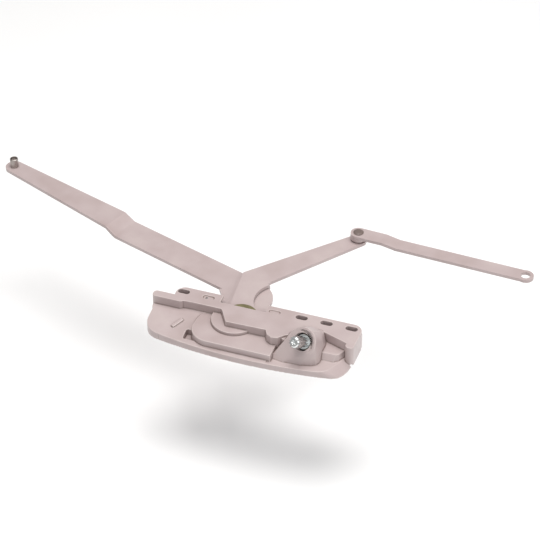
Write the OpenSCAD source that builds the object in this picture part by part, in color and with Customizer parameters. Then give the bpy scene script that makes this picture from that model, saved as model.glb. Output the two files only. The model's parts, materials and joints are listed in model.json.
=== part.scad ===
// Dual-arm casement window operator: cast body, worm-driven arms and a link.
// Origin on the arm pivot axis at the mounting plane, +X to the crank end,
// +Y to the rear (out of the window), +Z up. Millimetres.

/* [Body] */
// height of the top of the cast body
body_h = 17.2; // [17.0:0.1:17.6]
// height of the gear cover in front of the pivot
cover_h = 10.4; // [10.2:0.1:11.2]
// height of the front rim at the left end
rim_h = 5; // [4:0.5:6]
// width of each mounting slot
slot_w = 4.5; // [4.0:0.1:4.6]

/* [Arms] */
// thickness of the arm plates
plate_t = 2.6; // [2.4:0.1:2.6]
// reach of the long arm to its track pin
long_reach = 254; // [230:1:270]
// height of the step in the long arm
long_step = 4.6; // [4.4:0.1:5.5]
// reach of the short arm to the link rivet
short_reach = 120.5; // [112:0.5:123]
// length of the link between its two holes
link_len = 130.6; // [110:0.2:150]
// thickness of the link
link_t = 2.5; // [2.0:0.1:3.0]

/* [Pins] */
// diameter of the track pin
track_d = 6.5; // [5:0.1:8]
// length of the track pin above the arm
track_h = 7.6; // [5:0.1:10]
// diameter of the hole at the link end
link_hole_d = 7.2; // [5:0.1:7.4]
// diameter of the spindle over its splines
spline_d = 8.7; // [8:0.1:9]
// length of the bare spindle in front of its collar
spline_len = 15; // [12:0.5:20]

/* [Hidden] */
fine = 96;
mid = 48;

// gear train: every gear has module one
teeth_long = 65;
teeth_drive = 19;
teeth_idler = 22;
teeth_short = 22;
backlash = 0.30;
drive_dist = (teeth_long + teeth_drive) / 2;
drive_ang = -6.45;
drive_x = drive_dist * cos(drive_ang);
drive_y = drive_dist * sin(drive_ang);
idler_dist = (teeth_idler + teeth_short) / 2;
idler_to_drive = (teeth_idler + teeth_drive) / 2;
idler_turn = acos((idler_dist * idler_dist + drive_dist * drive_dist
  - idler_to_drive * idler_to_drive) / (2 * idler_dist * drive_dist));
idler_ang = drive_ang - idler_turn;
idler_x = idler_dist * cos(idler_ang);
idler_y = idler_dist * sin(idler_ang);
dir_di = atan2(idler_y - drive_y, idler_x - drive_x);
dir_is = idler_ang + 180;
phase_long = drive_ang;
phase_drive = drive_ang + 180 + 180 / teeth_drive;
phase_idler = dir_di + 180 + 360 / teeth_idler
  * (0.5 - (phase_drive - dir_di) * teeth_drive / 360);
phase_short = dir_is + 180 + 360 / teeth_short
  * (0.5 - (phase_idler - dir_is) * teeth_idler / 360);

// heights of the stack on the pivot axis
base_t = 1.6;
z_short_gear = 2.2;
short_gear_t = 2.4;
z_long_gear = 5.0;
long_gear_t = 2.4;
z_long = 9.0;
z_short = 12.2;
shaft_r = 5;
run = 0.05;
roof_t = 1.6;
z_roof = body_h - roof_t;

// worm and spindle axis
worm_lean = 14;
worm_rise = 33;
worm_dist = 14.5;
worm_back = 12;
worm_lead_ang = 4.7;
worm_root = 3.8;
worm_crest = 5.2;
wheel_pitch = PI;
worm_pitch = wheel_pitch * cos(worm_rise + worm_lead_ang) / cos(worm_lead_ang);
mesh_x = drive_x + worm_dist * cos(worm_lean);
mesh_y = drive_y - worm_dist * sin(worm_lean);
mesh_z = 12;
spin_x = mesh_x - worm_back * sin(worm_lean) * cos(worm_rise);
spin_y = mesh_y - worm_back * cos(worm_lean) * cos(worm_rise);
spin_z = mesh_z + worm_back * sin(worm_rise);

// body plan
body_left = -65.7;
body_right = 87;
body_front = -35.2;
body_rear = 14;
bow_r = 388;
bow_x = 12;
slot_y = 8.8;
slot_len = 9;
slots = [-47.5, 43, 61.8, 80.6];

// arm plan, measured along and across each arm from the pivot
long_ang = 161.8;
short_ang = 49.6;
link_ang = -2.7;
long_off = 30.2;
long_w = 23.8;
long_tip_off = 34.8;
long_tip_r = 7;
short_off = 34;
short_tip_r = 6.2;
link_w = 11.4;
z_link = z_short + plate_t + 3.9;
link_drop = 2;
rivet_x = short_reach * cos(short_ang) - short_off * sin(short_ang);
rivet_y = short_reach * sin(short_ang) + short_off * cos(short_ang);
screw_spots = [[-24, -20], [-30, 1], [51, -25], [69.5, -6]];

// turns its children onto the spindle axis, local +Z out of the body
module on_spindle() {
  translate([spin_x, spin_y, spin_z])
    rotate([0, 0, -worm_lean])
      rotate([90 - worm_rise, 0, 0])
        children();
}

// flat box with round corners in plan
module round_rect(x0, y0, x1, y1, r) {
  translate([x0 + r, y0]) square([x1 - x0 - 2 * r, y1 - y0]);
  translate([x0, y0 + r]) square([x1 - x0, y1 - y0 - 2 * r]);
  for (x = [x0 + r, x1 - r], y = [y0 + r, y1 - r])
    translate([x, y]) circle(r = r, $fn = mid);
}

// half the angle a tooth spans at radius r
function inv_deg(a) = tan(a) * 180 / PI - a;
function half_span(r, rp, n) = (90 / n) - backlash / 4 * 180 / PI / rp
  + inv_deg(20) - inv_deg(acos(min(1, rp * cos(20) / r)));
function at(r, a) = [r * cos(a), r * sin(a)];

// one gear tooth on the +X axis
module tooth(n) {
  rp = n / 2;
  r0 = rp - 1.5;
  r1 = max(rp - 1.15, rp * cos(20));
  r3 = rp + 0.45;
  r4 = rp + 0.85;
  h1 = half_span(r1, rp, n);
  h2 = half_span(rp, rp, n);
  h3 = half_span(r3, rp, n);
  h4 = half_span(r4, rp, n);
  polygon([at(r0, -h1), at(r1, -h1), at(rp, -h2), at(r3, -h3), at(r4, -h4),
    at(r4, h4), at(r3, h3), at(rp, h2), at(r1, h1), at(r0, h1)]);
}

// full gear in plan
module gear_plan(n, phase) {
  circle(r = n / 2 - 1.2, $fn = fine);
  for (i = [0 : n - 1])
    rotate(phase + i * 360 / n) tooth(n);
}

// round slot in plan along X
module slot_plan(len, w) {
  square([len - w, w], center = true);
  for (s = [-1, 1])
    translate([s * (len - w) / 2, 0]) circle(d = w, $fn = mid);
}

// cast body outline: bowed front, round front corners, stepped rear edge
module foot(h) {
  corner_l = 13.5;
  corner_r = 9.8;
  side_y = -19.8;
  intersection() {
    union() {
      translate([body_left, -16.1, 0]) cube([40, 16.5, h]);
      translate([0, side_y, 0]) cube([body_right, 20, h]);
      translate([body_left + corner_l, -44, 0])
        cube([body_right - body_left - corner_l - corner_r, 50, h]);
      translate([body_left + corner_l, -16.1, 0]) cylinder(r = corner_l, h = h, $fn = fine);
      translate([body_right - corner_r, side_y, 0]) cylinder(r = corner_r, h = h, $fn = fine);
      linear_extrude(h) round_rect(-67, -8, -40, 3.6, 3.5);
      linear_extrude(h) round_rect(-53, -8, body_right, body_rear, 7.5);
    }
    translate([bow_x, body_front + bow_r, -1]) cylinder(r = bow_r, h = h + 2, $fn = 360);
  }
}

// raised top with its stepped front edge and the notch over the hubs
module roof(h) {
  difference() {
    union() {
      linear_extrude(h)
        polygon([[-60, -2.3], [-50, -1.8], [-16.5, 0.3], [-14, -2], [-7, -13.5], [23, -12.6],
          [25.5, -17], [29.5, -19.5], [34, -18.5], [38, -14], [50, -6], [63, -1],
          [67, -2.5], [83, -8.0], [84.2, -11.5], [85.5, -11.5], [86, 3], [-60, 3]]);
      linear_extrude(h) round_rect(-68.3, -2.9, -44, 3.6, 2.8);
      linear_extrude(h) round_rect(-53, -1, 88.4, body_rear, 7);
      linear_extrude(h) round_rect(82, -12.4, 88.4, 8, 2.9);
    }
    translate([-18.3, 6, -1]) cube([34.5, 20, 40]);
  }
}

// right front corner with its wide sloped side
module right_corner() {
  hull() {
    linear_extrude(0.8)
      polygon([[60, -32.3], [70, -30.9], [78, -29.4], [82.3, -27.2], [85, -23.4], [86.8, -18],
        [88, -9], [87.4, 3], [60, 3]]);
    linear_extrude(rim_h)
      polygon([[60, -32.2], [65.5, -31.3], [70.5, -29.7], [74, -27], [76.4, -23], [79.6, -15.5],
        [84.9, -1.5], [85.2, 3], [60, 3]]);
  }
}

// raised floor between the boss and the right end
module right_step() {
  hull() {
    linear_extrude(9.6)
      polygon([[60, -14.2], [76.5, -13.9], [78.3, -12.4], [83.3, -2], [83.8, 4], [60, 4]]);
    linear_extrude(5)
      polygon([[60, -17.4], [75.5, -17], [78.5, -14.5], [84.6, -2.4], [85, 4], [60, 4]]);
  }
}

module cover(h) {
  intersection() {
    linear_extrude(h) round_rect(-31, -31.4, 70, 4, 15);
    translate([-40, -40, -1]) cube([73, 60, h + 2]);
  }
}

// space below the roof for the arm hubs, open to the rear
module hub_bay() {
  translate([-30.5, 2.3, 8.4]) cube([65, 40, z_roof - 8.4]);
  translate([0, -11.9, 8.4]) cube([34.5, 40, z_roof - 8.4]);
  translate([0, 0, 8.4]) cylinder(r = 11.9, h = z_roof - 8.4, $fn = fine);
  // room for the elbow of the short arm at the end of its swing
  translate([0, 0, 12]) linear_extrude(z_roof - 12)
    polygon([[-10, 3], [-16.8, 3], [-16.1, 2.0], [-13.9, -0.75], [-13.1, -1.9], [-10.8, -4.4],
      [-8, -4.4]]);
}

module gear_bay() {
  intersection() {
    translate([0, 0, base_t]) cylinder(r = 34.6, h = 6.85, $fn = fine);
    translate([-2, -29.8, 0]) cube([38, 60, 20]);
  }
  translate([0, 0, base_t]) cylinder(r = 13.2, h = 6.85, $fn = fine);
  translate([idler_x, idler_y, base_t]) cylinder(r = 13, h = 6.85, $fn = fine);
  translate([-13.5, 2, base_t - 2]) cube([48, 40, 9]);
}

module housing() {
  color([0.70, 0.63, 0.61])
  difference() {
    union() {
      intersection() {
        foot(rim_h);
        translate([-90, -50, -1]) cube([154, 100, 20]);
      }
      right_corner();
      translate([62, -1, 0]) linear_extrude(12) round_rect(0, 0, 26, 14.5, 3);
      // sloped apron between the rim and the roof wall
      intersection() {
        translate([0, 0, 1]) foot(body_h);
        translate([-80, -34.4, rim_h - 6])
          rotate([9.5, 0, 0]) cube([110, 60, 5.9]);
      }
      intersection() {
        cover(cover_h);
        foot(20);
      }
      right_step();
      translate([40, -20, 1]) cube([26, 30, 8.6]);
      translate([drive_x, drive_y, 5]) cylinder(r = 12.7, h = 10.6, $fn = fine);
      translate([-4, -3, 5]) cylinder(r = 17, h = cover_h - 2.6, $fn = fine);
      roof(body_h);
      // crank boss: round mouth on a skirt that spreads to the rim
      hull() {
        on_spindle() translate([0, 0, -9]) cylinder(r = 10.7, h = 11, $fn = mid);
        translate([0, 0, 3]) linear_extrude(2.3)
          polygon([[31.8, -27], [41.4, -28.6], [54.2, -27.9], [62, -25.8], [65, -24],
            [66.3, -21], [66.3, -3], [34, -3]]);
        translate([47, -6, 13]) cube([16, 8, 2]);
      }
      // oblique cast bar on the apron
      translate([-43, -16.2, 6.3]) rotate([9.5, 0, 0]) rotate([0, 0, 61])
        cube([10, 2.6, 5.6], center = true);
    }
    hub_bay();
    gear_bay();
    // worm wheel and worm space
    translate([drive_x, drive_y, 0]) cylinder(r = 11.2, h = 14.2, $fn = fine);
    translate([drive_x, drive_y, 0]) cylinder(r = 3 + run, h = 15.6, $fn = mid);
    on_spindle() {
      translate([0, 0, -20.5]) cylinder(r = 6.3, h = 16, $fn = mid);
      translate([0, 0, -3.2]) cylinder(r = 6.5, h = 12, $fn = fine);
      translate([0, 0, -0.6]) cylinder(r1 = 6.5, r2 = 9.4, h = 2.7, $fn = fine);
      translate([0, 0, -7]) cylinder(r = 6.3, h = 10, $fn = mid);
      translate([0, 0, -26.4]) cylinder(r = 4, h = 8, $fn = mid);
    }
    // shaft bore in the roof
    cylinder(r = 3.5 + run, h = 16.5, $fn = mid);
    // base plate seat
    translate([-36.2, -28.2, -1]) cube([109.4, 33.9, base_t + 1]);
    translate([-13.5, 5, -1]) cube([48, 12, base_t + 1]);
    for (p = screw_spots)
      translate([p[0], p[1], 0]) cylinder(r = 1.5, h = 6.2, $fn = mid);
    // mounting slots
    for (x = slots)
      translate([x, slot_y, -1]) linear_extrude(30) slot_plan(slot_len, slot_w);
    // window beside the hubs and shallow mark on the other side
    translate([-28, slot_y - 0.6, body_h - 0.9]) linear_extrude(9) slot_plan(slot_len, 4);
    translate([-29.6, slot_y - 0.6, 12]) cylinder(r = 1.1, h = 9, $fn = mid);
    translate([22.6, 8.4, body_h - 0.7]) linear_extrude(9) slot_plan(slot_len, 3.4);
    // notch under the right corner
    translate([86.3, -12.5, -1]) cube([6, 3.2, 3.2]);
    // pockets under the left end and beside the gear cover
    difference() {
      translate([-34.5, -28.6, 2.6]) linear_extrude(9) round_rect(0, 0, 16, 9, 1.5);
      cover(20);
    }
    translate([-62, -22, -1]) linear_extrude(4.5) round_rect(0, 0, 24, 26, 3);
  }
}

module base_plate() {
  color([0.62, 0.63, 0.64])
  difference() {
    union() {
      translate([-36, -28, 0]) cube([109, 33.5, base_t]);
      translate([-13.3, 5, 0]) cube([47.6, 8.8, base_t]);
    }
    translate([0, 0, -1]) cylinder(r = shaft_r + run, h = 4, $fn = fine);
    on_spindle() translate([0, 0, -27.4]) cylinder(r = 4.6, h = 8, $fn = mid);
    translate([drive_x, drive_y, -1]) cylinder(r = 3, h = 4, $fn = mid);
    translate([idler_x, idler_y, -1]) cylinder(r = 3, h = 4, $fn = mid);
    for (p = screw_spots) {
      translate([p[0], p[1], -1]) cylinder(r = 1.7, h = 4, $fn = mid);
      translate([p[0], p[1], -0.01]) cylinder(r1 = 3.05, r2 = 1.7, h = 1.36, $fn = mid);
    }
  }
}

module base_plate_screws() {
  color([0.72, 0.72, 0.74])
  for (p = screw_spots)
    translate([p[0], p[1], 0])
      difference() {
        union() {
          translate([0, 0, 0.05]) cylinder(r1 = 2.95, r2 = 1.5, h = 1.45, $fn = mid);
          translate([0, 0, 1.4]) cylinder(r = 1.5, h = 4.6, $fn = mid);
        }
        translate([-0.35, -2.2, -1]) cube([0.7, 4.4, 1.6]);
        translate([-2.2, -0.35, -1]) cube([4.4, 0.7, 1.6]);
      }
}

// helical ridge of the worm from height z0 over a number of turns
module worm_ridge(z0, turns) {
  steps = 24;
  n = steps * turns;
  rows = [for (i = [0 : n]) let (a = i * 360 / steps, z = z0 + worm_pitch * i / steps)
    [at3(3.2, a, z - 0.82), at3(worm_crest, a, z - 0.30),
     at3(worm_crest, a, z + 0.30), at3(3.2, a, z + 0.82)]];
  pts = [for (r = rows) for (p = r) p];
  side_a = [for (i = [0 : n - 1]) for (k = [0 : 3]) let (m = (k + 1) % 4)
    [4 * i + k, 4 * i + 4 + m, 4 * i + 4 + k]];
  side_b = [for (i = [0 : n - 1]) for (k = [0 : 3]) let (m = (k + 1) % 4)
    [4 * i + k, 4 * i + m, 4 * i + 4 + m]];
  polyhedron(points = pts, faces = concat([[0, 2, 1], [0, 3, 2]], side_a, side_b,
    [[4 * n, 4 * n + 1, 4 * n + 2], [4 * n, 4 * n + 2, 4 * n + 3]]));
}
function at3(r, a, z) = [r * cos(a), r * sin(a), z];

module spindle() {
  color([0.80, 0.81, 0.80])
  on_spindle() difference() {
    union() {
      // rear journal, worm root, bearing part and collar
      translate([0, 0, -26]) cylinder(r = 3, h = 6, $fn = mid);
      translate([0, 0, -20]) cylinder(r = worm_root, h = 13.5, $fn = mid);
      translate([0, 0, -7]) cylinder(r = 4.5, h = 4.5, $fn = mid);
      translate([0, 0, -3]) cylinder(r = 5.35, h = 3, $fn = mid);
      // splined end
      cylinder(d = spline_d - 1.1, h = spline_len - 0.8, $fn = mid);
      translate([0, 0, spline_len - 0.8])
        cylinder(d1 = spline_d - 1.1, d2 = spline_d - 2.7, h = 0.8, $fn = mid);
      for (i = [0 : 11])
        rotate(i * 30)
          linear_extrude(spline_len - 1.2)
            polygon([[3, -0.72], [spline_d / 2, -0.5], [spline_d / 2, 0.5], [3, 0.72]]);
      // ridge phase puts a crest in the wheel slot at the mesh point
      rotate(180)
        worm_ridge(-worm_back - 2 * worm_pitch, 4);
    }
    translate([0, 0, spline_len - 1.6]) cylinder(r1 = 0.3, r2 = 1.7, h = 1.7, $fn = mid);
  }
}

module spindle_bushing() {
  color([0.66, 0.55, 0.36])
  on_spindle() difference() {
    translate([0, 0, -6.6]) cylinder(r = 6.3, h = 3.4, $fn = mid);
    translate([0, 0, -8]) cylinder(r = 4.5 + run, h = 7, $fn = mid);
  }
}

module spindle_seal() {
  color([0.05, 0.05, 0.05])
  on_spindle() difference() {
    translate([0, 0, -3.2]) cylinder(r = 6.5, h = 1.5, $fn = fine);
    translate([0, 0, -4]) cylinder(r = 5.7, h = 4, $fn = mid);
  }
}

module rear_bushing() {
  color([0.66, 0.55, 0.36])
  on_spindle() difference() {
    translate([0, 0, -26.4]) cylinder(r = 4, h = 5.4, $fn = mid);
    translate([0, 0, -27]) cylinder(r = 3 + run, h = 8, $fn = mid);
  }
}

module worm_wheel() {
  color([0.70, 0.58, 0.36])
  translate([drive_x, drive_y, 0]) difference() {
    translate([0, 0, 10.6]) cylinder(r = 10.0, h = 2.8, $fn = fine);
    translate([0, 0, 9]) cylinder(r = 5.4, h = 6, $fn = mid);
    for (i = [0 : teeth_drive - 1])
      rotate([0, 0, -worm_lean + i * 360 / teeth_drive])
        translate([8.5, 0, mesh_z]) rotate([-(worm_rise + worm_lead_ang), 0, 0])
          translate([0, -1.08, -4]) cube([4, 2.16, 8]);
  }
}

module drive_pinion() {
  color([0.62, 0.63, 0.64])
  translate([drive_x, drive_y, 0]) difference() {
    union() {
      translate([0, 0, z_short_gear]) linear_extrude(5.4)
        gear_plan(teeth_drive, phase_drive);
      translate([0, 0, 7]) cylinder(r = 6.6, h = 3.6, $fn = mid);
      translate([0, 0, 10]) cylinder(r = 5.4, h = 3.4, $fn = mid);
    }
    cylinder(r = 3 + run, h = 20, $fn = mid);
  }
}

module drive_post() {
  color([0.72, 0.72, 0.74])
  translate([drive_x, drive_y, 0.1]) {
    cylinder(r = 3, h = 15.3, $fn = mid);
    translate([0, 0, 1.55]) difference() {
      cylinder(r = 5, h = 0.5, $fn = mid);
      translate([0, 0, -1]) cylinder(r = 2.9, h = 3, $fn = mid);
    }
  }
}

module idler_gear() {
  color([0.62, 0.63, 0.64])
  translate([idler_x, idler_y, 0]) difference() {
    translate([0, 0, z_short_gear]) linear_extrude(2)
      gear_plan(teeth_idler, phase_idler);
    cylinder(r = 3 + run, h = 20, $fn = mid);
  }
}

module idler_post() {
  color([0.72, 0.72, 0.74])
  translate([idler_x, idler_y, 0.1]) difference() {
    union() {
      cylinder(r = 3, h = 4.75, $fn = mid);
      translate([0, 0, 1.55]) cylinder(r = 5, h = 0.5, $fn = mid);
    }
    translate([0, 0, 4.18]) difference() {
      cylinder(r = 4, h = 0.36, $fn = mid);
      translate([0, 0, -1]) cylinder(r = 2.4, h = 3, $fn = mid);
    }
  }
}

module idler_clip() {
  color([0.30, 0.30, 0.31])
  translate([idler_x, idler_y, 4.3]) difference() {
    cylinder(r = 4.4, h = 0.32, $fn = mid);
    translate([0, 0, -1]) cylinder(r = 2.4, h = 3, $fn = mid);
    translate([-1.6, -6, -1]) cube([3.2, 5, 3]);
  }
}

module pivot_shaft() {
  color([0.72, 0.72, 0.74])
  union() {
    translate([0, 0, 0.2]) cylinder(r = shaft_r, h = z_short + plate_t - 0.2, $fn = fine);
    translate([0, 0, z_short + plate_t]) cylinder(r = 3.5, h = 1.4, $fn = mid);
  }
}

module short_arm_gear() {
  color([0.62, 0.63, 0.64])
  difference() {
    translate([0, 0, z_short_gear]) linear_extrude(short_gear_t)
      gear_plan(teeth_short, phase_short);
    cylinder(r = shaft_r, h = 20, $fn = fine);
  }
}

module washer(z, t, ri, ro) {
  translate([0, 0, z]) difference() {
    cylinder(r = ro, h = t, $fn = fine);
    translate([0, 0, -1]) cylinder(r = ri, h = t + 2, $fn = fine);
  }
}

module lower_washer() {
  color([0.62, 0.63, 0.64]) washer(1.65, 0.5, 5.3, 8.6);
}

module gear_washer() {
  color([0.62, 0.63, 0.64]) washer(4.65, 0.3, 5.3, 8.6);
}

module arm_washer() {
  color([0.62, 0.63, 0.64]) washer(11.65, 0.5, 5.3, 10.4);
}

module top_washer() {
  color([0.55, 0.50, 0.22]) washer(z_short + plate_t + 0.05, 0.6, 3.8, 11.6);
}

module long_arm_gear() {
  span = 28.8;
  mid_ang = drive_ang;
  color([0.62, 0.63, 0.64])
  difference() {
    union() {
      translate([0, 0, z_long_gear]) linear_extrude(long_gear_t) {
        circle(r = 10.6, $fn = fine);
        intersection() {
          circle(r = teeth_long / 2 - 1.2, $fn = fine);
          polygon([[0, 0], at(60, mid_ang - span), at(60, mid_ang),
            at(60, mid_ang + span)]);
        }
        for (i = [-5 : 5])
          rotate(phase_long + i * 360 / teeth_long) tooth(teeth_long);
      }
      translate([0, 0, z_long_gear]) cylinder(r = 8.4, h = z_long + plate_t - z_long_gear,
        $fn = fine);
    }
    cylinder(r = shaft_r + run, h = 20, $fn = fine);
  }
}

// side profile of the long arm with its step
module long_profile() {
  a = 137;
  b = 146.5;
  polygon([[-60, z_long], [a, z_long], [b, z_long + long_step], [300, z_long + long_step],
    [300, z_long + long_step + plate_t], [b - 0.6, z_long + long_step + plate_t],
    [a - 0.6, z_long + plate_t], [-60, z_long + plate_t]]);
}

module long_blank() {
  front = long_off - long_w / 2;
  rear = long_off + long_w / 2;
  // straight blade with its tapered outer half
  linear_extrude(40)
    polygon([[6, -front], [140, -front - 0.6], [long_reach, -(long_tip_off - long_tip_r)],
      [long_reach, -(long_tip_off + long_tip_r)], [6, -rear]]);
  translate([long_reach, -long_tip_off, 0]) cylinder(r = long_tip_r + 0.03, h = 40,
    $fn = mid);
  // round elbow and the neck that carries the hub
  rotate([0, 0, -long_ang]) {
    translate([-4.3, 24.0, 0]) cylinder(r = 19, h = 40, $fn = fine);
    linear_extrude(40)
      polygon([[-12, 8], [-21.4, 11.5], [-22.4, 16], [-23, 21], [-27, 27], [0, 36], [14, 26],
        [14.4, 20], [13.6, 11], [10, 2], [-9.8, 3.6]]);
    cylinder(r = 10.8, h = 40, $fn = fine);
  }
}

module long_arm() {
  color([0.74, 0.68, 0.67])
  rotate([0, 0, long_ang]) difference() {
    intersection() {
      long_blank();
      translate([0, 30, 0]) rotate([90, 0, 0]) linear_extrude(120) long_profile();
    }
    cylinder(r = 8.4, h = 40, $fn = fine);
    translate([long_reach, -long_tip_off, 0]) cylinder(d = track_d - 1.5, h = 40, $fn = mid);
  }
}

module track_pin() {
  top = z_long + long_step + plate_t;
  color([0.55, 0.54, 0.52])
  rotate([0, 0, long_ang]) translate([long_reach, -long_tip_off, top]) difference() {
    union() {
      translate([0, 0, -plate_t]) cylinder(d = track_d - 1.5, h = plate_t + 0.1, $fn = mid);
      cylinder(d = track_d, h = track_h - 0.5, $fn = mid);
      translate([0, 0, track_h - 0.5])
        cylinder(d1 = track_d, d2 = track_d - 0.8, h = 0.5, $fn = mid);
    }
    translate([0, 0, track_h - 2]) cylinder(d = track_d - 2, h = 4, $fn = mid);
  }
}

module short_blank() {
  // tapered blade from the elbow to the rivet
  linear_extrude(plate_t)
    polygon([[25.9, 42.4], [short_reach, short_off + short_tip_r],
      [short_reach, short_off - short_tip_r], [38, 22.4], [30, 19.5], [20, 22]]);
  translate([short_reach, short_off, 0]) cylinder(r = short_tip_r + 0.03, h = plate_t,
    $fn = mid);
  rotate([0, 0, -short_ang]) {
    linear_extrude(plate_t)
      polygon(concat([for (a = [138 : 6 : 228]) [24.5 + 22.5 * cos(a), 24.5 + 22.5 * sin(a)]],
        [[10.2, 3], [-10.9, 2.4], [-11.6, 7], [-15.5, 47.2]]));
    cylinder(r = 11.2, h = plate_t, $fn = fine);
  }
}

module short_arm() {
  color([0.74, 0.68, 0.67])
  rotate([0, 0, short_ang]) translate([0, 0, z_short]) difference() {
    short_blank();
    translate([0, 0, -1]) cylinder(r = shaft_r, h = 9, $fn = fine);
    translate([short_reach, short_off, -1]) cylinder(r = 2.6, h = 9, $fn = mid);
  }
}

module link_washer() {
  color([0.45, 0.43, 0.42])
  translate([rivet_x, rivet_y, z_short + plate_t + 0.05]) difference() {
    union() {
      cylinder(r = 4.1, h = 1.4, $fn = mid);
      translate([0, 0, 1.3]) cylinder(r = 6.1, h = 2.5, $fn = mid);
    }
    translate([0, 0, -1]) cylinder(r = 3.3, h = 6, $fn = mid);
  }
}

module link_rivet() {
  top = z_link + link_t + 0.05;
  color([0.66, 0.63, 0.61])
  translate([rivet_x, rivet_y, 0]) {
    translate([0, 0, z_short]) cylinder(r = 2.6, h = plate_t + 0.2, $fn = mid);
    translate([0, 0, z_short + plate_t]) cylinder(r = 3, h = top - z_short - plate_t + 0.1,
      $fn = mid);
    translate([0, 0, top]) cylinder(r = 3.9, h = 0.5, $fn = mid);
    translate([0, 0, top + 0.5]) cylinder(r1 = 3.5, r2 = 2.8, h = 0.6, $fn = mid);
  }
}

// side profile of the link with its small step down
module link_profile() {
  a = 20;
  b = 31;
  z1 = z_link;
  z2 = z_link - link_drop;
  polygon([[-20, z1], [a, z1], [b, z2], [170, z2], [170, z2 + link_t],
    [b + 0.4, z2 + link_t], [a + 0.4, z1 + link_t], [-20, z1 + link_t]]);
}

module link_arm() {
  color([0.74, 0.68, 0.67])
  translate([rivet_x, rivet_y, 0]) rotate([0, 0, link_ang]) difference() {
    intersection() {
      linear_extrude(40) {
        circle(r = 6, $fn = mid);
        polygon([[0, -6], [28, -link_w / 2], [link_len, -link_w / 2],
          [link_len, link_w / 2], [28, link_w / 2], [0, 6]]);
        translate([link_len, 0]) circle(r = 6.1, $fn = mid);
      }
      translate([0, 30, 0]) rotate([90, 0, 0]) linear_extrude(60) link_profile();
    }
    cylinder(r = 3 + run, h = 40, $fn = mid);
    translate([link_len, 0, 0]) cylinder(d = link_hole_d, h = 40, $fn = mid);
  }
}

housing();
base_plate();
base_plate_screws();
spindle();
spindle_bushing();
spindle_seal();
rear_bushing();
worm_wheel();
drive_pinion();
drive_post();
idler_gear();
idler_post();
idler_clip();
pivot_shaft();
short_arm_gear();
lower_washer();
gear_washer();
long_arm_gear();
arm_washer();
top_washer();
long_arm();
track_pin();
short_arm();
link_washer();
link_rivet();
link_arm();
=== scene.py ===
"""Studio scene of the casement window operator: painted cast body, arms, link and crank spindle."""
import json
import math

import bpy
from mathutils import Matrix, Vector

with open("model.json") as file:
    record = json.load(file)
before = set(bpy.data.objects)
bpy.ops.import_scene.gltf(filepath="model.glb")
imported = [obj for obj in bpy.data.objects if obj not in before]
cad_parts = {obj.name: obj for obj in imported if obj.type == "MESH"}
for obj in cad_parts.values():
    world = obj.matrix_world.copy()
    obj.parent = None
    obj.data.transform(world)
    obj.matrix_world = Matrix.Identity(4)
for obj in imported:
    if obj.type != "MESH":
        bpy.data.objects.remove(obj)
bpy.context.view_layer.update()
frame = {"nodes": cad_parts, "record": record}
record = frame["record"]
nodes = frame["nodes"]
scene = bpy.context.scene
MM = 0.001


# ---------------------------------------------------------------- camera and stage
YAW = math.radians(19.5)
ELEVATION = math.radians(38.0)
DISTANCE = 1.584
LENS = 146.67
SENSOR = 36.0
AIM_MM = Vector((2.4, 1.5, 15))
SHIFT_RIGHT_MM = 18
SHIFT_UP_MM = 31.68
right = Vector((math.cos(YAW), math.sin(YAW), 0))
away = Vector((-math.sin(YAW), math.cos(YAW), 0))
look = away * math.cos(ELEVATION) + Vector((0, 0, -math.sin(ELEVATION)))
up = away * math.sin(ELEVATION) + Vector((0, 0, math.cos(ELEVATION)))
cam_data = bpy.data.cameras.new("camera")
cam = bpy.data.objects.new("camera", cam_data)
scene.collection.objects.link(cam)
cam_data.lens = LENS
cam_data.sensor_width = SENSOR
cam_data.clip_end = 20
turn = Matrix((right, up, -look)).transposed().to_4x4()
centre = (AIM_MM + right * SHIFT_RIGHT_MM + up * SHIFT_UP_MM) * MM
turn.translation = centre - look * DISTANCE
cam.matrix_world = turn
scene.camera = cam

# the part floats above the floor, so that its shadow stays soft and pale
FLOOR_HALF = 3.0
FLOOR_Z = -0.09
corners = [(-1, -1), (1, -1), (1, 1), (-1, 1)]
floor_mesh = bpy.data.meshes.new("floor")
floor_mesh.from_pydata([(x * FLOOR_HALF, y * FLOOR_HALF, FLOOR_Z) for x, y in corners],
                       [], [(0, 1, 2, 3)])
floor = bpy.data.objects.new("floor", floor_mesh)
scene.collection.objects.link(floor)


def area_light(name, at, target, size, watts, colour=(1, 1, 1)):
    data = bpy.data.lights.new(name, "AREA")
    data.shape = "RECTANGLE"
    data.size, data.size_y = size
    data.energy = watts
    data.color = colour
    lamp = bpy.data.objects.new(name, data)
    lamp.location = at
    lamp.rotation_euler = (Vector(target) - Vector(at)).to_track_quat("-Z", "Y").to_euler()
    scene.collection.objects.link(lamp)


area_light("key", (-0.05, 0.12, 1.4), (0, 0.04, 0), (1.0, 0.8), 16.0, (1.0, 0.985, 0.97))
area_light("fill", (0.2, -1.5, 0.9), (0, 0, 0.01), (1.6, 0.9), 3.2, (0.96, 0.98, 1.0))
area_light("side", (1.3, -0.25, 0.75), (0.02, 0, 0.01), (0.8, 0.8), 6.0)

world = bpy.data.worlds.new("studio")
scene.world = world
world.use_nodes = True
back = world.node_tree.nodes["Background"]
back.inputs["Color"].default_value = (1.0, 1.0, 1.0, 1)
back.inputs["Strength"].default_value = 0.42
scene.view_settings.view_transform = "Standard"
scene.view_settings.look = "None"
scene.view_settings.exposure = 0.0


# ---------------------------------------------------------------- materials
def linear(r, g, b):
    """sRGB 0-255 to linear."""
    def one(v):
        v /= 255
        return v / 12.92 if v <= 0.04045 else ((v + 0.055) / 1.055) ** 2.4
    return (one(r), one(g), one(b), 1.0)


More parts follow.
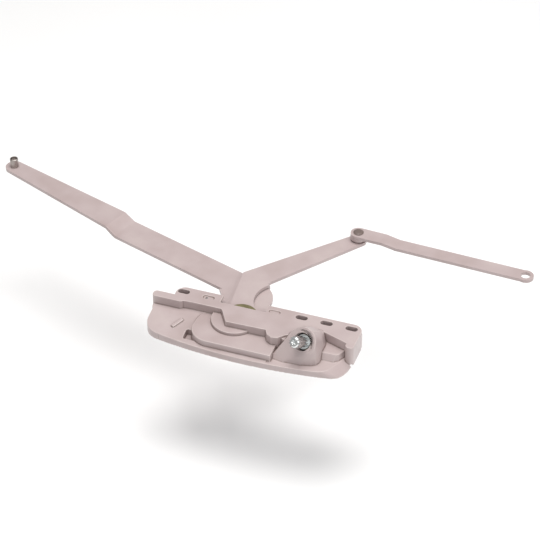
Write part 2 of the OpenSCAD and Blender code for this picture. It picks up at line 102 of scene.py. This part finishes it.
class Mat:
    """A procedural principled material built step by step."""

    def __init__(self, name):
        self.mat = bpy.data.materials.new(name)
        self.mat.use_nodes = True
        self.tree = self.mat.node_tree
        self.shader = self.tree.nodes["Principled BSDF"]
        self.coord = self.tree.nodes.new("ShaderNodeTexCoord").outputs["Object"]

    def set(self, **values):
        for key, value in values.items():
            self.shader.inputs[key.replace("_", " ")].default_value = value
        return self

    def node(self, kind, **inputs):
        n = self.tree.nodes.new(kind)
        for key, value in inputs.items():
            socket = n.inputs[key.replace("_", " ")]
            if isinstance(value, bpy.types.NodeSocket):
                self.tree.links.new(value, socket)
            else:
                socket.default_value = value
        return n

    def noise(self, scale, detail=3.0, rough=0.5, stretch=None):
        vector = self.coord
        if stretch:
            mapping = self.node("ShaderNodeMapping", Vector=vector, Scale=stretch)
            vector = mapping.outputs["Vector"]
        n = self.node("ShaderNodeTexNoise", Vector=vector, Scale=scale, Detail=detail,
                      Roughness=rough)
        return n.outputs["Fac"]

    def ramp(self, fac, stops):
        n = self.node("ShaderNodeValToRGB", Fac=fac)
        ramp = n.color_ramp
        while len(ramp.elements) < len(stops):
            ramp.elements.new(0.5)
        for element, (at, colour) in zip(ramp.elements, stops):
            element.position = at
            element.color = colour
        return n.outputs["Color"]

    def span(self, fac, low_out, high_out, low_in=0.0, high_in=1.0):
        n = self.node("ShaderNodeMapRange", Value=fac)
        n.inputs["From Min"].default_value = low_in
        n.inputs["From Max"].default_value = high_in
        n.inputs["To Min"].default_value = low_out
        n.inputs["To Max"].default_value = high_out
        return n.outputs["Result"]

    def mix(self, fac, a, b, blend="MIX"):
        n = self.tree.nodes.new("ShaderNodeMix")
        n.data_type = "RGBA"
        n.blend_type = blend
        for socket, value in ((n.inputs[0], fac), (n.inputs[6], a), (n.inputs[7], b)):
            if isinstance(value, bpy.types.NodeSocket):
                self.tree.links.new(value, socket)
            else:
                socket.default_value = value
        return n.outputs[2]

    def link(self, name, output):
        self.tree.links.new(output, self.shader.inputs[name])
        return self

    def bump(self, layers):
        """layers of (height, strength, distance in metres), the finest last."""
        normal = None
        for height, strength, distance in layers:
            n = self.node("ShaderNodeBump", Height=height, Strength=strength, Distance=distance)
            if normal is not None:
                self.tree.links.new(normal, n.inputs["Normal"])
            normal = n.outputs["Normal"]
        self.tree.links.new(normal, self.shader.inputs["Normal"])
        return self


def paint(name, base, warm, dark, grain=1.0, rough=(0.30, 0.42), painted_light=False):
    """Baked enamel over cast or stamped metal: soft mottle, orange peel and dust specks."""
    m = Mat(name)
    broad = m.noise(38, 2.0, 0.55)
    fine = m.noise(420, 4.0, 0.6)
    tone = m.ramp(broad, [(0.32, dark), (0.52, base), (0.70, warm)])
    speck = m.span(fine, 0.0, 0.16, 0.45, 0.75)
    tone = m.mix(speck, tone, dark)
    if painted_light:
        # painted shade in the hollows and creases, a painted highlight on the edges of the casting
        point = m.tree.nodes.new("ShaderNodeNewGeometry").outputs["Pointiness"]
        tone = m.mix(m.span(point, 0.85, 0.0, 0.474, 0.4985), tone, PAINTED_SHADE)
        tone = m.mix(m.span(point, 0.0, 0.55, 0.502, 0.53), tone, PAINTED_HIGHLIGHT)
    m.link("Base Color", tone)
    m.link("Roughness", m.span(m.noise(90, 3.0, 0.6), rough[0], rough[1], 0.3, 0.7))
    peel = m.noise(750, 2.0, 0.5)
    lumps = m.noise(120, 2.0, 0.5)
    m.bump([(lumps, 0.25 * grain, 0.0006), (peel, 0.30 * grain, 0.0001)])
    m.set(Specular_IOR_Level=0.5, Coat_Weight=0.25, Coat_Roughness=0.22)
    return m.mat


def metal(name, colour, dark, rough, scratch=(60, 60, 900), strength=0.2, metallic=1.0):
    m = Mat(name)
    broad = m.noise(140, 3.0, 0.6)
    lines = m.noise(6.0, 4.0, 0.65, stretch=scratch)
    tone = m.mix(m.span(broad, 0.0, 1.0, 0.35, 0.70), dark, colour)
    m.link("Base Color", m.mix(m.span(lines, 0.0, 0.35, 0.45, 0.70), tone, dark))
    m.link("Roughness", m.span(lines, rough[0], rough[1], 0.3, 0.7))
    m.bump([(lines, strength, 0.00006)])
    m.set(Metallic=metallic)
    return m.mat


# painted shade for hollows and creases, painted highlight for edges of the cast body
PAINTED_SHADE = linear(120, 102, 96)
PAINTED_HIGHLIGHT = linear(205, 192, 188)
clay = linear(184, 168, 167)
clay_warm = linear(189, 174, 172)
clay_dark = linear(176, 159, 157)
materials = {
    # the cast body gets painted shade in its hollows and a painted highlight on its edges
    "paint_body": paint("cast_enamel", clay, clay_warm, clay_dark, 1.0, painted_light=True),
    "paint_arm": paint("arm_enamel", clay, clay_warm, clay_dark, 0.6),
    # darker copy of the same paint: painted shadow on the washer in the gap under the link
    "paint_shadow": paint("washer_painted_shadow", linear(120, 104, 98), linear(130, 114, 108),
                          linear(100, 86, 82), 0.6, (0.45, 0.6)),
    "spindle_zinc": metal("bright_zinc", (0.90, 0.91, 0.90, 1), (0.62, 0.64, 0.64, 1), (0.12, 0.30)),
    "steel_zinc": metal("plated_steel", (0.72, 0.73, 0.74, 1), (0.50, 0.51, 0.52, 1), (0.25, 0.42)),
    "steel_gear": metal("gear_steel", (0.55, 0.55, 0.56, 1), (0.32, 0.32, 0.33, 1), (0.32, 0.5)),
    "steel_dark": metal("clip_steel", (0.20, 0.20, 0.21, 1), (0.10, 0.10, 0.11, 1), (0.35, 0.5)),
    "pin_steel": metal("pin_steel", (0.52, 0.48, 0.46, 1), (0.30, 0.26, 0.24, 1), (0.28, 0.45),
                       (900, 900, 60)),
    "bronze": metal("bronze", (0.74, 0.52, 0.26, 1), (0.46, 0.31, 0.15, 1), (0.25, 0.45)),
    "yellow_zinc": metal("yellow_zinc", (0.27, 0.24, 0.13, 1), (0.16, 0.14, 0.07, 1), (0.45, 0.6),
                         metallic=0.6),
}
# near-black rubber ring at the spindle, kept this dark also as painted shadow in the gap between
# collar and bore
seal_and_gap_shadow = Mat("seal_rubber")
seal_and_gap_shadow.link("Base Color", seal_and_gap_shadow.ramp(seal_and_gap_shadow.noise(300, 3), [(0.3, (0.010, 0.010, 0.010, 1)),
                                                     (0.7, (0.022, 0.021, 0.020, 1))]))
seal_and_gap_shadow.link("Roughness", seal_and_gap_shadow.span(seal_and_gap_shadow.noise(500, 2), 0.55, 0.75))
seal_and_gap_shadow.bump([(seal_and_gap_shadow.noise(1500, 2), 0.3, 0.00005)])
materials["seal_rubber"] = seal_and_gap_shadow.mat

slot_of = {part["node"]: part["material_slot"] for part in record["subparts"]}
for name, obj in nodes.items():
    obj.data.materials.clear()
    obj.data.materials.append(materials[slot_of[name]])

floor_mat = Mat("paper")
floor_mat.link("Base Color", floor_mat.ramp(floor_mat.noise(3, 2), [(0.3, (0.95, 0.95, 0.95, 1)),
                                                                  (0.7, (0.98, 0.98, 0.98, 1))]))
floor_mat.set(Roughness=0.9, Specular_IOR_Level=0.1)
floor.data.materials.append(floor_mat.mat)


# ---------------------------------------------------------------- softened edges
# fine enough that the softened hub bay stays clear of the short arm's elbow
CAST_VOXEL_MM = 0.29
CAST_ROUNDS = 6
EDGE_MM = {"long_arm": 0.45, "short_arm": 0.45, "link_arm": 0.4, "track_pin": 0.3,
           "link_rivet": 0.2, "link_washer": 0.25, "top_washer": 0.1}


def soften_cast(obj, voxel, rounds, factor=0.5):
    """Cast look: every edge and corner of a CAD part is rounded a little."""
    r = obj.modifiers.new("cast", "REMESH")
    r.mode = "VOXEL"
    r.voxel_size = voxel * MM
    r.use_smooth_shade = True
    s = obj.modifiers.new("round", "SMOOTH")
    s.factor = factor
    s.iterations = rounds


def bevel_edges(obj, width, segments=3, angle=35):
    w = obj.modifiers.new("join", "WELD")
    w.merge_threshold = 0.000002
    d = obj.modifiers.new("flat", "DECIMATE")
    d.decimate_type = "DISSOLVE"
    d.angle_limit = math.radians(0.6)
    b = obj.modifiers.new("edge", "BEVEL")
    b.width = width * MM
    b.segments = segments
    b.limit_method = "ANGLE"
    b.angle_limit = math.radians(angle)
    b.use_clamp_overlap = True
    n = obj.modifiers.new("shade", "WEIGHTED_NORMAL")
    n.keep_sharp = True


soften_cast(nodes["housing"], CAST_VOXEL_MM, CAST_ROUNDS)
for name, width in EDGE_MM.items():
    bevel_edges(nodes[name], width)
